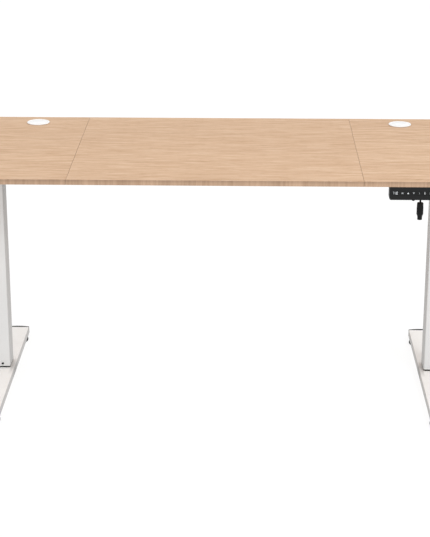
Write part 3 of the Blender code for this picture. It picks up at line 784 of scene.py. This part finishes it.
def motor_fittings():
    """The gear head's seals, screws and ribs, and the motor can's bands and tie screws."""
    low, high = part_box("motor_gearhead")
    shape = bmesh.new()
    for face, x in ((-1, low.x), (1, high.x)):
        out = (face, 0, 0)
        lathe(shape, [(0.0056, 0.0036), (0.0120, 0.0036), (0.0132, 0.0026), (0.0140, 0.0002),
                      (0.0056, 0.0002)], turn_to((x, AXIS_Y, SHAFT_Z), out), 40)
        for dy in (-0.020, 0.020):
            for z in (low.z + 0.006, high.z - 0.006):
                pan_screw(shape, (x, AXIS_Y + dy, z), out, 0.0034, 0.0022)
    for face, y in ((-1, low.y), (1, high.y)):
        near, far = sorted((y, y + face * 0.0012))
        for k in range(4):
            z = low.z + 0.016 + 0.014 * k
            block(shape, (low.x + 0.008, near, z), (high.x - 0.008, far, z + 0.0022), 0.0004)
    piece("gearhead_details", shape, "cast", "top")

    low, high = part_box("motor_can")
    centre, along = (low + high) / 2, (1, 0, 0)
    r, cap = (high.z - low.z) / 2, high.x - 0.004
    band = [(r + 0.0001, 0.0060), (r + 0.0011, 0.0056), (r + 0.0011, 0.0004), (r + 0.0001, 0)]
    shape = bmesh.new()
    for x in (low.x + 0.0015, cap - 0.0120):
        lathe(shape, band, turn_to((x, centre.y, centre.z), along), 48)
    for k in range(4):
        a = pi / 4 + k * pi / 2
        pan_screw(shape, (cap, centre.y + 0.0140 * cos(a), centre.z + 0.0140 * sin(a)), along,
                  0.0026, 0.0016)
    piece("motor_bands_and_screws", shape, "zinc", "top")


# The frame

RAILS = ("rail_front", "rail_back")
RAIL_SCREWS_X = (-0.560, -0.440, -0.360, -0.120, 0.120, 0.360, 0.440, 0.560)
ARM_SCREWS_Y = (-0.255, -0.150, 0.150, 0.255)
ARM_FLANGE = 0.0020
PLATES_Y = 0.230
DOWN = (0, 0, -1)


def frame_screws():
    """Wood screws up into the boards, and the bolts through the arms into the rails' ends."""
    shape = bmesh.new()
    for name in RAILS:
        for x in RAIL_SCREWS_X:
            wood_screw(shape, (x, middle(name).y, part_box(name)[0].z), DOWN)
    for side, _ in SIDES:
        x, flange = middle(f"side_arm_{side}").x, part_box(f"side_arm_{side}")[1].z - ARM_FLANGE
        for dy in ARM_SCREWS_Y:
            wood_screw(shape, (x, AXIS_Y + dy, flange), DOWN)
    piece("board_screws", shape, "dark", "top")

    shape = bmesh.new()
    for side, sign in SIDES:
        low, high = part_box(f"side_arm_{side}")
        outer = high.x if sign > 0 else low.x
        for name in RAILS:
            pan_screw(shape, (outer, middle(name).y, (low.z + high.z) / 2), (sign, 0, 0),
                      0.0046, 0.0021)
    piece("arm_bolts", shape, "dark", "top")


def joining_plates():
    """Flat plates screwed across the seams under the boards."""
    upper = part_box("desktop_center")[0].z - 0.0002
    lower = upper - 0.0020
    plates, screws = bmesh.new(), bmesh.new()
    for _, sign in SIDES:
        for y in (AXIS_Y - PLATES_Y, AXIS_Y + PLATES_Y):
            x = sign * SEAM_X
            block(plates, (x - 0.045, y - 0.016, lower), (x + 0.045, y + 0.016, upper), 0.0005)
            for dx in (-0.033, -0.015, 0.015, 0.033):
                wood_screw(screws, (x + dx, y, lower), DOWN, 0.0036, 0.0016)
    piece("joining_plates", plates, "zinc", "top")
    piece("joining_plate_screws", screws, "dark", "top")


# Controls

SOCKET_Z = 0.6725
MOTOR_LEAD_R = 0.0030


def pin_ring(shape, place, low, high):
    """The five pins of a round connector, on a ring with one place left empty."""
    shoulder = 0.0004 if high > low else -0.0004
    for k in range(5):
        a = radians(30 + 60 * k)
        at = Matrix.Translation((0.0033 * cos(a), 0.0033 * sin(a), 0))
        lathe(shape, [(0, high), (0.0005, high - shoulder), (0.0005, low), (0, low)],
              place @ at, 8)


def control_box_details():
    """The lid's screws, cooling ribs, two round sockets, and the pins in the mains inlet."""
    low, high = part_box("control_box")
    lid_low, lid_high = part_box("control_box_lid")
    shape = bmesh.new()
    for x in (lid_low.x + 0.007, lid_high.x - 0.007):
        for y in (lid_low.y + 0.016, lid_high.y - 0.016):
            wood_screw(shape, (x, y, lid_low.z), DOWN, 0.0036, 0.0018)
    piece("control_box_screws", shape, "dark", "top")

    shape = bmesh.new()
    for k in range(9):
        y = low.y + 0.020 + 0.0075 * k
        block(shape, (low.x + 0.020, y, low.z - 0.0010), (low.x + 0.090, y + 0.0030, low.z),
              0.0004)
    piece("control_box_ribs", shape, "charcoal", "top")

    shape = bmesh.new()
    for y in (low.y + 0.014, low.y + 0.034):
        place = turn_to((high.x, y, SOCKET_Z), (1, 0, 0))
        lathe(shape, [(0, 0.0008), (0.0052, 0.0008), (0.0052, 0.0042), (0.0078, 0.0042),
                      (0.0085, 0.0034), (0.0085, 0.0001), (0, 0.0001)], place, 40)
        pin_ring(shape, place, 0.0008, 0.0030)
    piece("control_sockets", shape, "black", "top")

    inlet, start = middle("mains_inlet"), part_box("mains_inlet")[0].x + 0.0040
    shape = bmesh.new()
    for dy in (-0.0043, 0.0043):
        lathe(shape, [(0, 0.0102), (0.0008, 0.0100), (0.0012, 0.0092), (0.0012, 0), (0, 0)],
              turn_to((start, inlet.y + dy, inlet.z), (1, 0, 0)), 16)
    piece("mains_pins", shape, "zinc", "top")


def motor_lead():
    """The lead from the control box to the motor can, with a gland at each end."""
    start_x, can_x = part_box("control_box")[0].x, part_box("motor_can")[1].x
    route = [(start_x, 0.118, 0.6700), (-0.325, 0.118, 0.6690), (-0.352, 0.114, 0.6610),
             (-0.366, 0.098, 0.6540), (-0.372, 0.070, 0.6510), (-0.374, 0.040, 0.6480),
             (-0.378, 0.018, 0.6440), (-0.388, 0.004, 0.6375), (-0.404, 0.000, 0.6342),
             (can_x, 0, 0.6340)]
    points = [(x, AXIS_Y + behind, z) for x, behind, z in route]
    lead = cable("motor_cable", points, MOTOR_LEAD_R, "NURBS", 4)
    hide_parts("motor_lead")
    gland = [(0.0032, 0.0120), (0.0042, 0.0120), (0.0060, 0.0020), (0.0072, 0.0016),
             (0.0072, 0), (0.0032, 0)]
    shape = bmesh.new()
    lathe(shape, gland, turn_to(points[0], (-1, 0, 0)), 28)
    lathe(shape, gland, turn_to(points[-1], (1, 0, 0)), 28)
    piece("motor_cable_glands", shape, "black", "top")


# Keypad

KEY_Z = middle("key_up").z
MARK_T = 0.00012
GLYPH_UNIT = 0.00105
ARROW_HALF_W, ARROW_HALF_H = 0.0030, 0.0021
DIGIT_W, DIGIT_HALF_H, DIGIT_STEP, DIGIT_STROKE = 0.0028, 0.0034, 0.0048, 0.0008
CORD_R, CORD_STRAIGHT = 0.0025, 0.003

# Strokes between (x, z) points, on a grid 4 units high
GLYPHS = {
    "memory": [((0, 0), (0, 4)), ((0, 4), (1.5, 1.6)), ((1.5, 1.6), (3, 4)), ((3, 4), (3, 0))],
    "one": [((0.2, 3.1), (1.1, 4)), ((1.1, 4), (1.1, 0))],
    "two": [((0, 3.3), (0.6, 4)), ((0.6, 4), (1.7, 4)), ((1.7, 4), (2.2, 3.2)),
            ((2.2, 3.2), (0, 0)), ((0, 0), (2.3, 0))],
    "three": [((0, 4), (2.1, 4)), ((2.1, 4), (1.0, 2.3)), ((1.0, 2.3), (2.1, 1.5)),
              ((2.1, 1.5), (1.5, 0)), ((1.5, 0), (0, 0.1))],
}
# Segments of a digit: top, two upper, middle, two lower, bottom
SEGMENTS = [((0, 2), (1, 2)), ((0, 1), (0, 2)), ((1, 1), (1, 2)), ((0, 1), (1, 1)),
            ((0, 0), (0, 1)), ((1, 0), (1, 1)), ((0, 0), (1, 0))]
DIGITS = {"7": (0, 2, 5), "1": (2, 5), "0": (0, 1, 2, 4, 5, 6)}
MARK_LOOKS = {"memory": "lit", "one": "dim_mark", "two": "bright_mark", "three": "bright_mark",
              "up": "lit", "down": "dim_mark"}


def mark(shape, outline, front):
    """A thin raised mark on the keypad's face, from an outline of (x, z) points."""
    near = [shape.verts.new((x, front, z)) for x, z in outline]
    far = [shape.verts.new((x, front + MARK_T, z)) for x, z in outline]
    shape.faces.new(near)
    shape.faces.new(far[::-1])
    for k in range(len(outline)):
        n = (k + 1) % len(outline)
        shape.faces.new((near[k], far[k], far[n], near[n]))


def stroke(shape, start, end, width, front):
    """A bar with tapered tips between two (x, z) points."""
    start, end = Vector(start), Vector(end)
    along = (end - start).normalized()
    side = Vector((-along.y, along.x)) * width / 2
    tip = along * width * 0.3
    mark(shape, [start - tip + side * 0.5, start + side, end + side, end + tip + side * 0.5,
                 end + tip - side * 0.5, end - side, start - side, start - tip - side * 0.5],
         front)


def legend_piece(key, shape):
    piece(f"legend_{key}", shape, MARK_LOOKS[key], f"key_{key}", smooth=False)


def keypad_marks():
    """Legends on the keys, which move with them, and three digits behind the window."""
    unit = GLYPH_UNIT
    for key, strokes in GLYPHS.items():
        wide = max(x for pair in strokes for x, _ in pair) * unit
        x0, z0 = middle(f"key_{key}").x - wide / 2, KEY_Z - 2 * unit
        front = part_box(f"key_{key}")[0].y - MARK_T
        shape = bmesh.new()
        for ends in strokes:
            start, end = ((x0 + x * unit, z0 + z * unit) for x, z in ends)
            stroke(shape, start, end, 0.75 * unit, front)
        legend_piece(key, shape)
    for key, up in (("up", 1), ("down", -1)):
        x, half_h = middle(f"key_{key}").x, ARROW_HALF_H * up
        shape = bmesh.new()
        mark(shape, [(x - ARROW_HALF_W, KEY_Z - half_h), (x + ARROW_HALF_W, KEY_Z - half_h),
                     (x, KEY_Z + half_h)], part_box(f"key_{key}")[0].y - MARK_T)
        legend_piece(key, shape)

    centre, front = middle("keypad_display").x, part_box("keypad_display")[0].y - MARK_T
    bottom = KEY_Z - DIGIT_HALF_H
    shape = bmesh.new()
    for k, digit in enumerate("710"):
        x0 = centre - 0.0066 + DIGIT_STEP * k
        for segment in DIGITS[digit]:
            start, end = (Vector((x0 + across * DIGIT_W, bottom + up * DIGIT_HALF_H))
                          for across, up in SEGMENTS[segment])
            stroke(shape, start.lerp(end, 0.06), end.lerp(start, 0.06), DIGIT_STROKE, front)
    point_x = centre + 0.0020
    stroke(shape, (point_x, bottom), (point_x + 0.0003, bottom), DIGIT_STROKE, front)
    piece("display_digits", shape, "lit", "top", smooth=False)


def moulded_plug(x, y, top):
    """A round plug that hangs down, with a ribbed grip and five pins in its open end."""
    profile = [(0, 0), (0.0070, 0), (0.0083, -0.0006), (0.0087, -0.0016), (0.0088, -0.0040),
               (0.0089, -0.0105), (0.0092, -0.0125)]
    first = len(profile)
    for k in range(5):
        rib = -0.0140 - 0.0032 * k
        profile += [(0.0092, rib), (0.0095, rib - 0.0003), (0.0095, rib - 0.0018),
                    (0.0092, rib - 0.0021)]
    last = len(profile)
    profile += [(0.0094, -0.0312), (0.0093, -0.0322), (0.0080, -0.0350), (0.0069, -0.0384),
                (0.0066, -0.0386), (0.0065, -0.0474), (0.0062, -0.0480), (0.0055, -0.0480),
                (0.0054, -0.0410), (0, -0.0410)]

    def grip(i, angle):
        return 1.0 - 0.030 * max(0.0, cos(2 * angle)) ** 4 if first <= i < last else 1.0

    shape = bmesh.new()
    place = Matrix.Translation((x, y, top))
    lathe(shape, profile, place, 64, grip)
    pin_ring(shape, place, -0.0412, -0.0460)
    plug = piece("moulded_plug", shape, "rubber", "top")
    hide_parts("keypad_plug")
    return plug


def lead_gland(x, z):
    """The ribbed rubber sleeve where the lead leaves the housing."""
    low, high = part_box("keypad_gland")
    r = (high.x - low.x) / 2
    profile = [(0, 0.0060), (0.0032, 0.0060), (0.0036, 0.0055), (0.0039, 0.0042),
               (0.0036, 0.0040), (0.0041, 0.0028), (0.0038, 0.0026), (0.0044, 0.0013),
               (r, 0.0010), (r, 0), (0, 0)]
    shape = bmesh.new()
    lathe(shape, profile, turn_to((x, low.y, z), (0, 1, 0)), 32)
    gland = piece("lead_gland", shape, "rubber", "top")
    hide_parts("keypad_gland")


def keypad_lead():
    """The short lead that turns down behind the keypad, its gland, and the plug on its end."""
    low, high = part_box("keypad_gland")
    x, z = (low.x + high.x) / 2, (low.z + high.z) / 2
    exit_at = (x, high.y + GAP, z)
    plug_y, plug_top = middle("keypad_plug").y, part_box("keypad_plug")[1].z
    bend = plug_y - exit_at[1] - CORD_STRAIGHT
    points = [exit_at]
    points += [(x, exit_at[1] + CORD_STRAIGHT + bend * sin(k * pi / 16),
                z - bend * (1 - cos(k * pi / 16))) for k in range(9)]
    below = points[-1][2]
    fall = below - plug_top - GAP
    points += [(x, plug_y, below - fall * k / 6) for k in range(1, 7)]
    cord = cable("keypad_cord", points, CORD_R, "POLY", 5)
    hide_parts("keypad_lead")
    plug = moulded_plug(x, plug_y, plug_top)
    lead_gland(x, z)


def keypad_fixings():
    """The case screw under the keypad, and the ears that hold it to the board."""
    low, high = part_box("keypad_screw")
    at = (low + high) / 2
    shape = bmesh.new()
    wood_screw(shape, (at.x, at.y, high.z), DOWN, (high.x - low.x) / 2, high.z - low.z)
    screw = piece("keypad_case_screw", shape, "dark", "top")
    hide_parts("keypad_screw")

    low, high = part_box("keypad_housing")
    ears, screws = bmesh.new(), bmesh.new()
    under = high.z - 0.0026
    for x in (low.x + 0.018, high.x - 0.012):
        block(ears, (x - 0.007, high.y, under), (x + 0.007, high.y + 0.012, high.z), 0.0006)
        wood_screw(screws, (x, high.y + 0.0065, under), DOWN, 0.0032, 0.0016)
    piece("keypad_ears", ears, "charcoal", "top")
    piece("keypad_ear_screws", screws, "dark", "top")


camera()
studio()
dress_all()
grommets()
levelling_wheels()
foot_fixings()
column_screws()
head_screws()
gearbox_details()
shaft_collars()
motor_fittings()
frame_screws()
joining_plates()
control_box_details()
motor_lead()
keypad_marks()
keypad_lead()
keypad_fixings()
